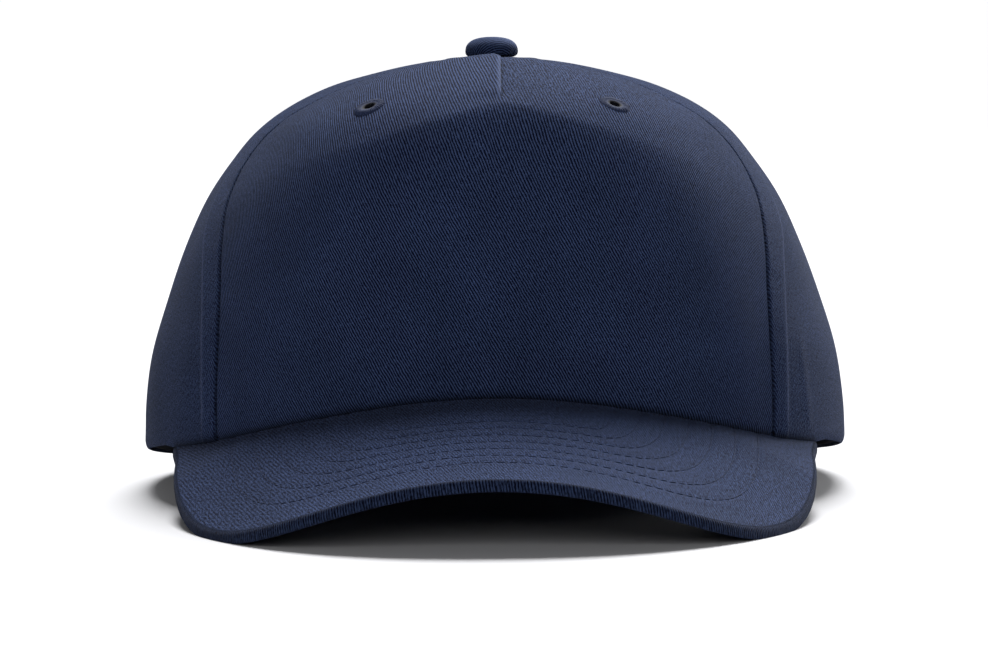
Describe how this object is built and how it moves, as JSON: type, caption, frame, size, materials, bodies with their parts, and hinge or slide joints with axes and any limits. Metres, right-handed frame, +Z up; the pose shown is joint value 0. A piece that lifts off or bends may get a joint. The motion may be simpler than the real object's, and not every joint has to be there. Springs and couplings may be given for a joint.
{
  "type": "five panel cap",
  "caption": "Structured cotton cap with a pinched front panel, curved stitched peak, covered top button, embroidered eyelets and a strap across the opening at the back.",
  "frame": {"origin": "centre of the bounding box, at the table that the cap stands on", "axes": "+Z up, -Y towards the front of the peak, +X to the right as seen from the front"},
  "size_m": [0.1848, 0.2642, 0.118],
  "materials": {
    "twill": "matte",
    "thread": "matte",
    "band_cloth": "matte"
  },
  "bodies": {
    "root": {"front_panel": "twill", "side_panel_left": "twill", "side_panel_right": "twill", "back_panel_left": "twill", "back_panel_right": "twill", "top_button": "twill", "eyelet_left": "thread", "eyelet_right": "thread", "peak": "twill", "sweatband": "band_cloth", "back_strap": "twill"}
  },
  "joints": []
}
